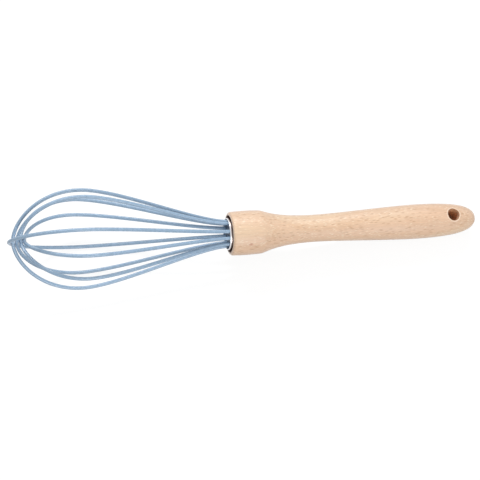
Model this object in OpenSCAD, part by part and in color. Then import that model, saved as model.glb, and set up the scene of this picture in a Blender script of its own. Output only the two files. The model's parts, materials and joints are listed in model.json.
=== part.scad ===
// Balloon whisk: five nested loops of spring steel, each in a silicone sleeve, seated in a turned beech handle.
// Millimetres. The whisk lies as it rests on a table: handle towards +X, head towards -X, table at Z = 0.

/* [Head] */
// Reach of the outermost loop, from the handle's face to the middle of its wire
head_reach = 139.1; // [115:0.5:180]
// Width of the balloon, across the middles of two opposite wires
belly_d = 63.4; // [48:0.2:80]
// Distance from the handle's face to the widest place of the balloon
belly_at = 95; // [75:1:105]
// Diameter of the circle on which the wires leave the ferrule
mouth_pitch_d = 16.2; // [14.5:0.1:16.4]
// Outer diameter of a silicone sleeve
sleeve_d = 2.3; // [2:0.05:2.6]
// Diameter of the spring steel wire in each sleeve
wire_d = 1.2; // [0.8:0.05:1.5]
// Gap all round between a wire and what it is pushed into
wire_gap = 0.03; // [0.02:0.01:0.08]
// Gap between two nested sleeves where they cross at the tip
nest_gap = 0.05; // [0.05:0.05:1]
// Extra room at the tip between the outer two loops and the inner three
nest_slack = 0.2; // [0:0.1:4]

/* [Ferrule] */
// Outer diameter of the steel ferrule
ferrule_d = 20.4; // [20:0.1:22]
// Wall of the ferrule
ferrule_wall = 0.7; // [0.5:0.05:0.9]
// How far the ferrule stands out of the handle's face
ferrule_proud = 1.5; // [0.8:0.1:4]
// How deep the ferrule is seated in the handle
ferrule_seat = 14; // [11:0.5:16]
// Diameter of the recess round the ferrule in the handle's face
recess_d = 23.6; // [22.6:0.1:23.8]
// Depth of that recess
recess_l = 2.5; // [1:0.1:4]
// Gap all round between pieces that are pressed or poured into each other
seat_gap = 0.02; // [0.01:0.01:0.06]

/* [Inside the ferrule] */
// Depth of the spacer's front, on which the sleeves end
sleeve_seat = 8; // [5:0.5:10]
// Depth of the resin's front below the ferrule's rim
resin_recess = 1.6; // [0.8:0.1:4]
// Diameter of the spacer's spigot in the handle's inner bore
spigot_d = 18.4; // [17.9:0.1:18.7]
// Length of the spacer's spigot
spigot_l = 8; // [5:0.5:10]
// How far the wires stop short of the spacer's end
wire_stop = 0.5; // [0.2:0.1:2]

/* [Handle] */
// Length of the handle
handle_l = 165.5; // [145:0.5:220]
// Widest diameter of the drum at the front of the handle
drum_d = 28.1; // [27.5:0.1:34]
// Length of the drum
drum_l = 19.5; // [16:0.5:24]
// How much the drum's radius falls from its middle to its ends
drum_crown = 0.3; // [0.1:0.1:1]
// Rounding of the handle's front edge
front_edge = 1.8; // [0.5:0.1:2]
// Diameter of the neck
neck_d = 17.4; // [14:0.1:22]
// Distance from the handle's face to the neck
neck_at = 56.5; // [50:0.5:70]
// Diameter of the swell in the palm
swell_d = 22.3; // [20:0.1:28]
// Distance from the handle's face to the swell
swell_at = 125; // [100:1:130]

/* [Hang hole] */
// Diameter of the hang hole
hole_d = 7.4; // [4:0.1:9]
// Distance from the hole's middle to the handle's end
hole_inset = 17.5; // [14:0.5:25]
// Turn of the hole about the handle, 90 is straight up
hole_turn = 84; // [60:1:120]
// How much the hole's radius opens towards the wood's skin
hole_flare = 0.3; // [0.1:0.1:1]
// Depth below the skin at which the hole starts to open
hole_flare_l = 1.4; // [0.8:0.1:3]

/* [Hidden] */
// Turn of each loop about the handle, outermost loop first, as a share of the even spacing
loop_turn_shares = [2.066, 3.838, 3.146, 0.379, 1.129];
// How far the two halves of each loop lean out of its plane, to the same side, as a share of the even spacing
loop_lean_shares = [0.032, 0.004, 0.22, 0.058, 0.181];
// How far the whole head leans out of the handle's line, as a share of the distance from the handle's face
head_lean_share = 0.03;
// Direction in which the head leans, 90 is straight up
head_lean_turn = 131;
// Number of outer loops, behind which the others lie further in by the extra room
outer_loop_count = 2;
// Length over which a lean fades at the tip, as a share of the belly's radius
lean_fade_share = 0.12;
// Pull of the curves of a loop: out of the mouth, into the belly, out of the belly, into the tip
mouth_pull_share = 0.21;
belly_in_pull_share = 0.25;
belly_out_pull_share = 0.65;
tip_pull_share = 0.36;
// Pull of the curves of the handle: out of the drum, into and out of the neck, into and out of the swell, butt
drum_pull_share = 0.12;
neck_in_pull_share = 0.76;
neck_out_pull_share = 0.23;
swell_in_pull_share = 0.27;
swell_out_pull_share = 0.76;
butt_pull_share = 0.67;
// Steepest angle at which the whole whisk may lie on the table, and the halvings that find its own
lie_angle_limit = 20;
lie_angle_steps = 24;
// Overrun of every cut
over = 1;

// Steps of the curves
flare_steps = 10;
tip_steps = 15;
drum_steps = 5;
edge_steps = 4;
shoulder_steps = 12;
grip_steps = 10;
butt_steps = 16;
sleeve_sides = 12;
wire_sides = 6;
turned_fn = 96;
small_fn = 32;

loop_count = len(loop_turn_shares);
loops = [0 : loop_count - 1];
loop_spacing = 180 / loop_count;
loop_turn = loop_spacing * loop_turn_shares;
loop_lean = loop_spacing * loop_lean_shares;
sleeve_r = sleeve_d / 2;
wire_r = wire_d / 2;
bore_r = wire_r + wire_gap;
belly_r = belly_d / 2;
mouth_r = mouth_pitch_d / 2;
ferrule_r = ferrule_d / 2;
ferrule_in_r = ferrule_r - ferrule_wall;
recess_r = recess_d / 2;
spigot_r = spigot_d / 2;
resin_front = resin_recess - ferrule_proud;
spacer_end = ferrule_seat + spigot_l;
bore_end = spacer_end + wire_stop;
wire_seat = spacer_end - wire_stop;
drum_r = drum_d / 2;
neck_r = neck_d / 2;
swell_r = swell_d / 2;
hole_at = handle_l - hole_inset;
nest_step = sleeve_d + nest_gap;
loop_reach = [for (i = loops) head_reach - i * nest_step - (i < outer_loop_count ? 0 : nest_slack)];
lean_fade = lean_fade_share * belly_r;

// Curves
function unit(v) = v / norm(v);

function bezier(a, b, c, d, t) =
    pow(1 - t, 3) * a + 3 * pow(1 - t, 2) * t * b + 3 * (1 - t) * t * t * c + t * t * t * d;

function curve(a, b, c, d, steps, first = 0) = [for (k = [first : steps]) bezier(a, b, c, d, k / steps)];

function backwards(list) = [for (i = [len(list) - 1 : -1 : 0]) list[i]];

// Direction square to the handle's axis, from -Y at 0 up to +Z at 90
function outward(turn) = [0, -cos(turn), sin(turn)];

// Half of a loop as [distance from the handle's face, distance from the axis], from the mouth to the tip
function loop_half(reach) = let (
    nose = reach - belly_at,
    mouth = [0, mouth_r],
    belly = [belly_at, belly_r],
    tip = [reach, 0]
) concat(
    curve(mouth, mouth + [mouth_pull_share * belly_at, 0],
        belly - [belly_in_pull_share * belly_at, 0], belly, flare_steps),
    curve(belly, belly + [belly_out_pull_share * nose, 0],
        tip + [0, tip_pull_share * belly_r], tip, tip_steps, 1)
);

// A loop leans out of its plane in proportion to its distance from the axis, and smoothly not at all at the tip.
// From the handle's face on, all loops lean with the head.
function leaned(i, side, p) = let (
    aside = sin(loop_lean[i]) * (sqrt(p[1] * p[1] + lean_fade * lean_fade) - lean_fade)
) [-p[0], 0, 0]
    + side * cos(loop_lean[i]) * p[1] * outward(loop_turn[i])
    + aside * outward(loop_turn[i] + 90)
    + head_lean_share * max(p[0], 0) * outward(head_lean_turn);

// Middle line of loop i, from one seated end round the tip to the other
function loop_path(i, seat) = let (half = concat([[-seat, mouth_r]], loop_half(loop_reach[i]))) concat(
    [for (p = half) leaned(i, 1, p)],
    [for (k = [len(half) - 2 : -1 : 0]) leaned(i, -1, half[k])]
);

// Where the two ends of loop i cross a plane square to the axis
function loop_ends(i) = [for (side = [1, -1]) leaned(i, side, [0, mouth_r])];

// Tubes
function heading(path, i) = unit(path[min(i + 1, len(path) - 1)] - path[max(i - 1, 0)]);

// Ring of a tube: its first corner lies on the side of the loop's plane that the normal points to
function ring(middle, along, normal, r, sides) = let (
    a = unit(normal - (normal * along) * along),
    b = cross(along, a)
) [for (k = [0 : sides - 1]) middle + r * (cos(360 * k / sides) * a + sin(360 * k / sides) * b)];

function tube_points(path, normal, r, sides) = [
    for (i = [0 : len(path) - 1]) each ring(path[i], heading(path, i), normal, r, sides)
];

// Wall of a tube whose first point has the index first, facing outwards, or inwards where inside is true
function tube_wall(rings, sides, first = 0, inside = false) = [
    for (i = [0 : rings - 2], k = [0 : sides - 1]) let (
        a = first + i * sides + k,
        b = first + i * sides + (k + 1) % sides,
        faces = [[a, b, b + sides], [a, b + sides, a + sides]]
    ) each inside ? faces : [for (f = faces) backwards(f)]
];

function disc(first, sides, turned) = [
    for (k = [1 : sides - 2]) turned ? [first, first + k + 1, first + k] : [first, first + k, first + k + 1]
];

// Flat end between an outer ring and a bore with half as many sides
function annulus(outer, inner, sides, turned) = [
    for (k = [0 : sides / 2 - 1]) let (
        a = outer + 2 * k,
        b = a + 1,
        c = outer + (2 * k + 2) % sides,
        d = inner + k,
        e = inner + (k + 1) % (sides / 2),
        faces = [[a, b, d], [b, c, e], [b, e, d]]
    ) each turned ? [for (f = faces) backwards(f)] : faces
];

module hollow_tube(path, normal, r, bore, sides, bore_sides) {
    rings = len(path);
    inner = rings * sides;
    last = rings - 1;
    polyhedron(
        points = concat(tube_points(path, normal, r, sides), tube_points(path, normal, bore, bore_sides)),
        faces = concat(
            tube_wall(rings, sides),
            tube_wall(rings, bore_sides, inner, true),
            annulus(0, inner, sides, false),
            annulus(last * sides, inner + last * bore_sides, sides, true)
        )
    );
}

module solid_tube(path, normal, r, sides) {
    rings = len(path);
    polyhedron(
        points = tube_points(path, normal, r, sides),
        faces = concat(
            tube_wall(rings, sides),
            disc(0, sides, false),
            disc((rings - 1) * sides, sides, true)
        )
    );
}

// Outline of the turned handle as [distance from its face, radius]
function drum_at(t) = drum_r - drum_crown * pow(2 * t / drum_l - 1, 2);

handle_outline = let (
    edge_r = drum_at(front_edge),
    drum_slope = -4 * drum_crown / drum_l,
    shoulder_l = neck_at - drum_l,
    grip_l = swell_at - neck_at,
    butt_l = handle_l - swell_at,
    shoulder = [drum_l, drum_at(drum_l)],
    neck = [neck_at, neck_r],
    swell = [swell_at, swell_r],
    butt = [handle_l, 0]
) concat(
    [for (k = [0 : edge_steps]) let (a = 90 * k / edge_steps)
        [front_edge * (1 - cos(a)), edge_r - front_edge * (1 - sin(a))]],
    [for (k = [1 : drum_steps]) let (t = front_edge + (drum_l - front_edge) * k / drum_steps) [t, drum_at(t)]],
    curve(shoulder, shoulder + drum_pull_share * shoulder_l * [1, drum_slope],
        neck - [neck_in_pull_share * shoulder_l, 0], neck, shoulder_steps, 1),
    curve(neck, neck + [neck_out_pull_share * grip_l, 0],
        swell - [swell_in_pull_share * grip_l, 0], swell, grip_steps, 1),
    curve(swell, swell + [swell_out_pull_share * butt_l, 0],
        butt + [0, butt_pull_share * swell_r], butt, butt_steps, 1)
);
hole_skin = lookup(hole_at, handle_outline);

// Lie on the table: the lean at which the lowest wires and the swell of the handle both touch it
loop_middles = [for (i = loops) each loop_path(i, 0)];

function handle_depth(lean) = max([for (p = handle_outline) p[1] * cos(lean) + p[0] * sin(lean)]);

function head_depth(lean) = sleeve_r + max([for (p = loop_middles) p[0] * sin(lean) - p[2] * cos(lean)]);

function level(low, high, steps) = let (middle = (low + high) / 2)
    steps < 1 ? middle
    : handle_depth(middle) < head_depth(middle) ? level(middle, high, steps - 1)
    : level(low, middle, steps - 1);

lean = level(0, lie_angle_limit, lie_angle_steps);
lift = handle_depth(lean);
butt_x = max([for (p = handle_outline) p[0] * cos(lean) + p[1] * sin(lean)]);
tip_x = min([for (p = loop_middles) p[0] * cos(lean) + p[2] * sin(lean)]) - sleeve_r;
middle_x = (butt_x + tip_x) / 2;
middle_y = (max([for (p = loop_middles) p[1]]) + min([for (p = loop_middles) p[1]])) / 2;

module on_table() {
    translate([-middle_x, -middle_y, lift]) rotate([0, lean, 0]) children();
}

// Turns a shape that stands on Z into one that lies along the handle, at a depth from the handle's face
module at_depth(depth) {
    translate([depth, 0, 0]) rotate([0, 90, 0]) children();
}

// Sub-parts
module handle() {
    color("burlywood") on_table() difference() {
        at_depth(0) rotate_extrude($fn = turned_fn)
            polygon(concat([[0, 0]], [for (p = handle_outline) [p[1], p[0]]]));
        at_depth(-over) cylinder(h = recess_l + over, r = recess_r, $fn = turned_fn);
        at_depth(0) cylinder(h = ferrule_seat, r = ferrule_r + seat_gap, $fn = turned_fn);
        at_depth(0) cylinder(h = bore_end, r = spigot_r + seat_gap, $fn = turned_fn);
        translate([hole_at, 0, 0]) rotate([90 - hole_turn, 0, 0]) hang_hole();
    }
}

module hang_hole() {
    flare_l = hole_flare_l + over;
    cylinder(h = 2 * (hole_skin + over), d = hole_d, center = true, $fn = turned_fn);
    for (side = [0, 1]) mirror([0, 0, side]) translate([0, 0, hole_skin - hole_flare_l])
        cylinder(h = flare_l, r1 = hole_d / 2, r2 = hole_d / 2 + hole_flare * flare_l / hole_flare_l, $fn = turned_fn);
}

// Plain sleeve with a rolled front rim
module ferrule() {
    rim_r = ferrule_wall / 2;
    color("silver") on_table() at_depth(-ferrule_proud) rotate_extrude($fn = turned_fn) {
        translate([ferrule_in_r, rim_r]) square([ferrule_wall, ferrule_seat + ferrule_proud - rim_r]);
        translate([ferrule_in_r + rim_r, rim_r]) circle(r = rim_r, $fn = small_fn);
    }
}

// Holes for the ten wire ends, along Z
module wire_holes(r, h) {
    for (i = loops, p = loop_ends(i)) translate([-p[2], p[1], 0]) cylinder(h = h, r = r, $fn = small_fn);
}

// Stepped disc that spaces the ten wire ends, behind the ends of the sleeves
module wire_spacer() {
    flange_l = ferrule_seat - sleeve_seat;
    color("ivory") on_table() difference() {
        union() {
            at_depth(sleeve_seat) cylinder(h = flange_l, r = ferrule_in_r - seat_gap, $fn = turned_fn);
            at_depth(sleeve_seat) cylinder(h = flange_l + spigot_l, r = spigot_r, $fn = turned_fn);
        }
        at_depth(sleeve_seat - over) wire_holes(bore_r, flange_l + spigot_l + 2 * over);
    }
}

// Resin poured round the sleeves, flush with the spacer behind it
module resin_seal() {
    resin_l = sleeve_seat - resin_front;
    color("dimgray") on_table() difference() {
        at_depth(resin_front) cylinder(h = resin_l, r = ferrule_in_r - seat_gap, $fn = turned_fn);
        at_depth(resin_front - over) wire_holes(sleeve_r + seat_gap, resin_l + 2 * over);
    }
}

module silicone_sleeve(i) {
    color("lightsteelblue") on_table()
        hollow_tube(loop_path(i, sleeve_seat), outward(loop_turn[i] + 90), sleeve_r, bore_r, sleeve_sides, wire_sides);
}

module spring_wire(i) {
    color("gray") on_table()
        solid_tube(loop_path(i, wire_seat), outward(loop_turn[i] + 90), wire_r, wire_sides);
}

handle();
ferrule();
wire_spacer();
resin_seal();
silicone_sleeve(0);  // silicone_sleeve_1
silicone_sleeve(1);  // silicone_sleeve_2
silicone_sleeve(2);  // silicone_sleeve_3
silicone_sleeve(3);  // silicone_sleeve_4
silicone_sleeve(4);  // silicone_sleeve_5
spring_wire(0);  // spring_wire_1
spring_wire(1);  // spring_wire_2
spring_wire(2);  // spring_wire_3
spring_wire(3);  // spring_wire_4
spring_wire(4);  // spring_wire_5
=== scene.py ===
"""Looks of a balloon whisk: turned beech handle, rolled ferrule, poured resin and five sleeved loops.

Lengths in the classes are millimetres in the whisk's own frame. Its X runs from the handle's face, at 0, to
the butt, so the head lies at negative X, and its Y and Z lie square to that axis. One placement, worked out
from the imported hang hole, carries points from that frame to the table on which the whisk rests, in metres.
"""

import json
import logging
import math
from dataclasses import dataclass, field
from enum import Enum
from typing import Any, NamedTuple

import bpy
import numpy as np
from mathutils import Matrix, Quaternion, Vector
from numpy.typing import NDArray

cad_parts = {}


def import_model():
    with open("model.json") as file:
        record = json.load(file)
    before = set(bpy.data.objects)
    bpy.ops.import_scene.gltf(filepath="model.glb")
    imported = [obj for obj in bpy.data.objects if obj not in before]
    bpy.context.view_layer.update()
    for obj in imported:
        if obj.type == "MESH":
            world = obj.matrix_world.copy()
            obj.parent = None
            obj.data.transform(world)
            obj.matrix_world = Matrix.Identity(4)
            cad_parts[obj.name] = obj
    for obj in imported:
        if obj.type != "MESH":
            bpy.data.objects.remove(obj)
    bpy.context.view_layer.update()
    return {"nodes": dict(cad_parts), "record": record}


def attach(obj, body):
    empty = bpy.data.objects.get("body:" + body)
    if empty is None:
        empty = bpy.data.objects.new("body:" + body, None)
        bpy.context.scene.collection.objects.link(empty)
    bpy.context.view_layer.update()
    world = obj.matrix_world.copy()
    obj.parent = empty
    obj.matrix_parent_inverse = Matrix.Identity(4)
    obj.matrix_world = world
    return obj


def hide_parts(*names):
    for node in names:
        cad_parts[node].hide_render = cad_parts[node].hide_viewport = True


Points = NDArray[np.float64]
Indices = NDArray[np.int64]
Triple = tuple[float, float, float]
Pair = tuple[float, float]
Feed = Any
Socket = bpy.types.NodeSocket

LOG = logging.getLogger("whisk")
BODY = "root"
HOLE_MOUNT = "hang_hole"
SLEEVE_UV = "round_and_along"
MM = 0.001
# Distance in millimetres from a corner to the rows that keep it crisp
CRISP = 0.05
# Direction of the whisk's axis, and the same in a profile of distance and radius
AXIS = np.array([1.0, 0.0, 0.0])
LEVEL = np.array([1.0, 0.0])
# Values of a mask at both ends of its edge
RISING: Pair = (0.0, 1.0)
FALLING: Pair = (1.0, 0.0)
# Middle of what a noise gives, and the edge that makes a soft mask of it
NOISE_MIDDLE = 0.5
NOISE_EDGE: Pair = (0.3, 0.7)
# Two of the random numbers of a cell
FIRST_RANDOM: Triple = (1.0, 0.0, 0.0)
SECOND_RANDOM: Triple = (0.0, 1.0, 0.0)


class Slot(Enum):
    """The record's material slots, whose names the log gives for each new piece."""

    BEECH = "beech"
    FERRULE_STEEL = "polished_steel"
    RESIN = "resin"
    SILICONE = "silicone"


# Curves and index grids


def bezier(a: Points, b: Points, c: Points, d: Points, steps: int) -> Points:
    """Points of a cubic Bezier curve.

    The weights of the four corner points are the four terms of (1 - t) + t, cubed.

    Args:
        a: First point.
        b: Point that pulls the start.
        c: Point that pulls the end.
        d: Last point.
        steps: Even steps of t, from 0 to 1.

    Returns:
        One row more than steps.
    """
    t = np.linspace(0, 1, steps + 1)[:, None]
    return (1 - t) ** 3 * a + 3 * (1 - t) ** 2 * t * b + 3 * (1 - t) * t**2 * c + t**3 * d


def outward(turn: float) -> Points:
    """Unit vector square to the whisk's axis, at so many degrees from -Y up to +Z."""
    angle = math.radians(turn)
    return np.array([0.0, -math.cos(angle), math.sin(angle)])


def turns_round(columns: int) -> Points:
    """Evenly spaced directions, in degrees."""
    return 360 * np.arange(columns) / columns


def unit(vectors: Points) -> Points:
    """Vectors at length 1, along the last axis."""
    return vectors / np.linalg.norm(vectors, axis=-1, keepdims=True)


def sheet_quads(index: Indices, closed: bool = False) -> Indices:
    """Quads of an index grid whose columns close round.

    Each quad joins two neighbours in a row with the same two in the next row. Its outer side is the one that
    the direction down the rows, crossed with the direction along them, points to.

    Args:
        index: Vertex numbers, rows by columns.
        closed: Whether the last row also joins the first.

    Returns:
        Vertex numbers, rows by columns by 4.
    """
    here = index if closed else index[:-1]
    after = np.roll(index, -1, axis=0) if closed else index[1:]
    return np.stack([here, after, np.roll(after, -1, axis=1), np.roll(here, -1, axis=1)], axis=-1)


def fan(pole: int, ring: Indices, opens: bool) -> Indices:
    """Triangles that close a ring to a pole.

    Args:
        pole: Vertex number of the pole.
        ring: Vertex numbers of the ring.
        opens: True where the pole comes before the ring, False where it comes after it.

    Returns:
        Vertex numbers, one triangle per row.
    """
    after = np.roll(ring, -1)
    poles = np.full_like(ring, pole)
    return np.stack([poles, ring, after] if opens else [ring, poles, after], axis=-1)


def revolve(x: Points, r: Points, turns: Points) -> Points:
    """Carries a profile round the whisk's axis.

    The point of row i and column j lies at x[i] along the axis and r[i] out from it, towards turns[j].

    Args:
        x: Distance of each row from the handle's face.
        r: Distance of each row from the axis.
        turns: Direction of each column in degrees.

    Returns:
        Points, rows by columns by 3.
    """
    angle = np.radians(turns)[None, :]
    out = r[:, None]
    return np.stack([x[:, None] + 0 * angle, -out * np.cos(angle), out * np.sin(angle)], axis=-1)


# Placement and meshes


@dataclass(frozen=True)
class Placement:
    """Where the whisk's own frame lies on the table.

    Attributes:
        lie: Slope of the handle down to its butt, in radians.
        face: Middle of the handle's face, in metres.
    """

    lie: float
    face: Triple

    @classmethod
    def from_hole(cls, record: dict[str, Any], hole_at: float) -> "Placement":
        """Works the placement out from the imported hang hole.

        The slope is the lean of the hole's axis off the vertical, seen from the side, and the face lies
        hole_at back along the handle from the hole's middle.

        Args:
            record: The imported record.
            hole_at: Distance from the handle's face to the hole's middle.

        Returns:
            The placement.
        """
        mount = next(m for m in record["mounts"] if m["name"] == HOLE_MOUNT)
        lie = math.atan2(mount["axis"][0], mount["axis"][2])
        x, y, z = mount["pos_m"]
        back = hole_at * MM
        return cls(lie, (x - back * math.cos(lie), y, z + back * math.sin(lie)))

    def world(self, points: Points) -> Points:
        """Turns points about Y by the slope, scales them to metres and moves them to the face.

        Args:
            points: Millimetres in the whisk's own frame, one point per row.

        Returns:
            The same points in metres on the table.
        """
        x, y, z = points.T
        cos, sin = math.cos(self.lie), math.sin(self.lie)
        return np.stack([x * cos + z * sin, y, z * cos - x * sin], axis=-1) * MM + np.array(self.face)


def new_object(name: str, data: bpy.types.ID) -> bpy.types.Object:
    """Puts a new object into the scene.

    Args:
        name: Its name.
        data: Its mesh, light or camera.

    Returns:
        The object, at the origin.
    """
    made = bpy.data.objects.new(name, data)
    bpy.context.scene.collection.objects.link(made)
    return made


@dataclass
class Shell:
    """A closed surface under construction.

    Attributes:
        points: Blocks of points, in the whisk's own frame.
        faces: Blocks of quads and triangles.
        size: Number of points so far.
    """

    points: list[Points] = field(default_factory=list)
    faces: list[Indices] = field(default_factory=list)
    size: int = 0

    def add(self, points: Points) -> Indices:
        """Adds a block of points.

        Args:
            points: Points in any arrangement, with the three coordinates last.

        Returns:
            Their vertex numbers, in the same arrangement.
        """
        index = self.size + np.arange(points[..., 0].size).reshape(points.shape[:-1])
        self.points.append(points.reshape(-1, 3))
        self.size += index.size
        return index

    def face(self, faces: Indices) -> None:
        """Adds faces, as vertex numbers with each face's own last."""
        self.faces.append(faces.reshape(-1, faces.shape[-1]))

    def cap(self, grid: Indices, first: Points, last: Points) -> None:
        """Closes both ends of a grid, each to a pole of its own.

        Args:
            grid: Vertex numbers, rows by columns.
            first: The pole before the first row.
            last: The pole after the last row.
        """
        poles = self.add(np.stack([first, last]))
        self.face(fan(int(poles[0]), grid[0], True))
        self.face(fan(int(poles[1]), grid[-1], False))

    def piece(self, name: str, place: Placement, rounds: Points | None = None) -> bpy.types.Object:
        """Makes the object.

        Args:
            name: The object's name.
            place: Carries the points to the table.
            rounds: A UV for each corner of each face in turn, or None.

        Returns:
            A smooth-shaded object at the origin.
        """
        mesh = bpy.data.meshes.new(name)
        faces = [face for block in self.faces for face in block.tolist()]
        mesh.from_pydata(place.world(np.concatenate(self.points)).tolist(), [], faces)
        mesh.polygons.foreach_set("use_smooth", np.ones(len(faces), dtype=bool))
        if rounds is not None:
            mesh.uv_layers.new(name=SLEEVE_UV).data.foreach_set("uv", rounds.ravel())
        mesh.validate()
        mesh.update()
        return new_object(name, mesh)


def settle(piece: bpy.types.Object, slot: Slot, finish: bpy.types.Material, node: str) -> None:
    """Dresses a piece, lets it ride on the body, hides the CAD node that it stands for, and reports it.

    Args:
        piece: The object.
        slot: The record's slot that its finish belongs to.
        finish: Its material.
        node: The CAD node it stands for.
    """
    piece.data.materials.append(finish)
    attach(piece, BODY)
    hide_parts(node)
    LOG.info("%s: %d faces, %s, stands for %s", piece.name, len(piece.data.polygons), slot.value, node)


def dress_node(node: bpy.types.Object, finish: bpy.types.Material) -> None:
    """Gives a CAD node that stays a better material, and reports it.

    Args:
        node: The node.
        finish: The material.
    """
    for slot in node.material_slots:
        slot.material = finish
    LOG.info("%s: stays, dressed in %s", node.name, finish.name)


# Shader nodes


class Wash(NamedTuple):
    """A colour that covers what lies under it.

    Attributes:
        colour: The colour.
        share: How much it covers where its mask is 1.
    """

    colour: Feed
    share: float


class Streaks(NamedTuple):
    """Noise drawn out along the axes.

    Attributes:
        scales: Its scale along each axis, per millimetre.
        detail: Its number of octaves.
    """

    scales: Triple
    detail: float


class Relief(NamedTuple):
    """Fine relief of a surface.

    Attributes:
        depth: Its depth in millimetres.
        strength: How strongly it is seen.
    """

    depth: float
    strength: float


class Mottle(NamedTuple):
    """Unevenness of a surface's colour and gloss.

    Attributes:
        scale: Its scale, per millimetre.
        contrast: How much its brightness varies.
    """

    scale: float
    contrast: float


class Desk:
    """Lays shader nodes into one tree and joins them."""

    def __init__(self, tree: bpy.types.NodeTree) -> None:
        """Keeps the tree."""
        self.tree = tree

    def feed(self, socket: Socket, source: Feed) -> None:
        """Joins a socket to another socket, or sets its value.

        Args:
            socket: The input.
            source: An output socket, a number, a vector or a colour.
        """
        if isinstance(source, Socket):
            self.tree.links.new(source, socket)
            return
        value = source.tolist() if isinstance(source, np.ndarray) else source
        is_colour = socket.type == "RGBA" and len(value) == 3
        socket.default_value = (*value, 1.0) if is_colour else value

    def put(self, kind: str, feeds: tuple[Feed, ...] | dict[str, Feed] = (), **settings: Any) -> Any:
        """Adds a node and feeds it.

        Args:
            kind: Its type name.
            feeds: What its inputs get, in order or by name.
            **settings: Its own properties.

        Returns:
            Its outputs.
        """
        node = self.tree.nodes.new(kind)
        for name, value in settings.items():
            setattr(node, name, value)
        for key, source in feeds.items() if isinstance(feeds, dict) else enumerate(feeds):
            self.feed(node.inputs[key], source)
        return node.outputs

    def math(self, operation: str, *sources: Feed) -> Socket:
        """The result of a Math node."""
        return self.put("ShaderNodeMath", sources, operation=operation)[0]

    def times(self, first: Feed, second: Feed) -> Socket:
        """The product of two numbers."""
        return self.math("MULTIPLY", first, second)

    def less(self, first: Feed, second: Feed) -> Socket:
        """A number less another."""
        return self.math("SUBTRACT", first, second)

    def away(self, first: Feed, second: Feed) -> Socket:
        """The root of the sum of two squares."""
        return self.math("SQRT", self.math("MULTIPLY_ADD", first, first, self.times(second, second)))

    def total(self, base: Feed, *terms: tuple[Feed, float]) -> Feed:
        """A base and what masks add to it.

        Args:
            base: The base.
            *terms: Each mask with the number that it adds where it is 1.

        Returns:
            The sum.
        """
        for mask, share in terms:
            base = self.math("MULTIPLY_ADD", mask, share, base)
        return base

    def dot(self, vector: Feed, direction: Feed) -> Socket:
        """How far a vector reaches in a direction."""
        return self.put("ShaderNodeVectorMath", (vector, direction), operation="DOT_PRODUCT")["Value"]

    def stretch(self, vector: Feed, scales: Triple) -> Socket:
        """A vector with each coordinate times its own number."""
        return self.put("ShaderNodeVectorMath", (vector, scales), operation="MULTIPLY")["Vector"]

    def split(self, vector: Feed) -> tuple[Socket, ...]:
        """The three coordinates of a vector."""
        return tuple(self.put("ShaderNodeSeparateXYZ", (vector,)))

    def join(self, x: Feed, y: Feed, z: Feed) -> Socket:
        """A vector of three coordinates."""
        return self.put("ShaderNodeCombineXYZ", (x, y, z))[0]

    def noise(self, vector: Feed, scale: Feed, detail: float) -> Socket:
        """Smooth noise of a scale, with so many octaves."""
        return self.put("ShaderNodeTexNoise", {"Vector": vector, "Scale": scale, "Detail": detail})[0]

    def span(self, value: Feed, edge: Pair, results: Pair = RISING) -> Socket:
        """Eases a value from one range into another.

        Args:
            value: The value.
            edge: Where the result starts and ends to change.
            results: The result before and after that.

        Returns:
            The eased value.
        """
        feeds = (value, *edge, *results)
        return self.put("ShaderNodeMapRange", feeds, interpolation_type="SMOOTHSTEP")[0]

    def mix(self, share: Feed, first: Feed, second: Feed) -> Socket:
        """Mixes two colours.

        Args:
            share: How much of the second.
            first: The first colour.
            second: The second colour.

        Returns:
            The mixed colour.
        """
        node = self.tree.nodes.new("ShaderNodeMix")
        node.data_type = "RGBA"
        inputs = {socket.identifier: socket for socket in node.inputs}
        for name, source in (("Factor_Float", share), ("A_Color", first), ("B_Color", second)):
            self.feed(inputs[name], source)
        return next(socket for socket in node.outputs if socket.identifier == "Result_Color")

    def lay(self, under: Feed, mask: Feed, wash: Wash) -> Socket:
        """A colour with a wash over it where a mask says."""
        return self.mix(self.times(mask, wash.share), under, wash.colour)

    def brightened(self, colour: Feed, value: Feed) -> Socket:
        """A colour times a number."""
        return self.put("ShaderNodeHueSaturation", {"Color": colour, "Value": value})[0]

    def bump(self, height: Feed, relief: Relief) -> Socket:
        """A normal raised by a height."""
        feeds = {"Strength": relief.strength, "Distance": relief.depth * MM, "Height": height}
        return self.put("ShaderNodeBump", feeds)[0]


class MaterialDesk(Desk):
    """A desk on a new material, which is painted in the whisk's own frame.

    Attributes:
        material: The material.
        shader: Its Principled shader.
        where: The surface point in the whisk's own frame, in millimetres.
    """

    def __init__(self, name: str, place: Placement) -> None:
        """Starts the material.

        The Mapping node undoes the placement: it takes the face away, turns by the slope the other way and
        divides by a millimetre.

        Args:
            name: The material's name.
            place: The placement.
        """
        self.material = bpy.data.materials.new(name)
        self.material.use_nodes = True
        super().__init__(self.material.node_tree)
        self.shader = self.tree.nodes["Principled BSDF"]
        feeds = {
            "Vector": self.put("ShaderNodeTexCoord")["Object"],
            "Location": place.face,
            "Rotation": (0.0, place.lie, 0.0),
            "Scale": (MM, MM, MM),
        }
        self.where = self.put("ShaderNodeMapping", feeds, vector_type="TEXTURE")[0]

    def streaks(self, streaks: Streaks) -> Socket:
        """Noise drawn out along the axes of the whisk."""
        return self.noise(self.stretch(self.where, streaks.scales), 1.0, streaks.detail)

    def dress(self, feeds: dict[str, Feed]) -> bpy.types.Material:
        """Feeds the shader.

        Args:
            feeds: What its inputs get, by name.

        Returns:
            The finished material.
        """
        for name, source in feeds.items():
            self.feed(self.shader.inputs[name], source)
        return self.material


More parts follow.
